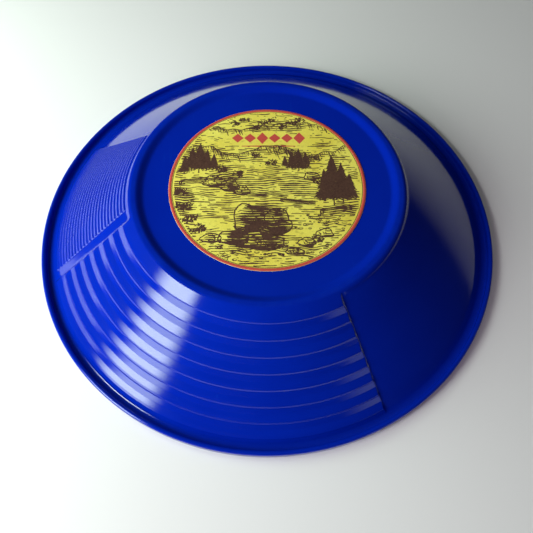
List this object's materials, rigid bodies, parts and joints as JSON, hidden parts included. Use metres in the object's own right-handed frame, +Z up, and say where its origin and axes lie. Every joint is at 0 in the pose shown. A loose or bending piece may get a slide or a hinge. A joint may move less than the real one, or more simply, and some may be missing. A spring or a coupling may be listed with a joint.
{
  "type": "gold pan",
  "caption": "Round one-piece plastic pan for washing gold from gravel, with coarse and fine riffles in its conical wall and a round label on its base.",
  "frame": {"origin": "centre of the rim's flat underside, with the pan lying rim down", "axes": "+Z up from the rim to the base, along the pan's axis; the coarse riffles face -Y and the fine riffles face -X"},
  "size_m": [0.3556, 0.3556, 0.0635],
  "materials": {
    "pan_plastic": "glossy moulded polypropylene, royal blue right through",
    "label_glue": "clear tacky acrylic adhesive",
    "label_print": "printed vinyl, satin"
  },
  "bodies": {
    "root": {"pan_body": "pan_plastic", "label_adhesive": "label_glue", "label_film": "label_print"}
  },
  "joints": []
}
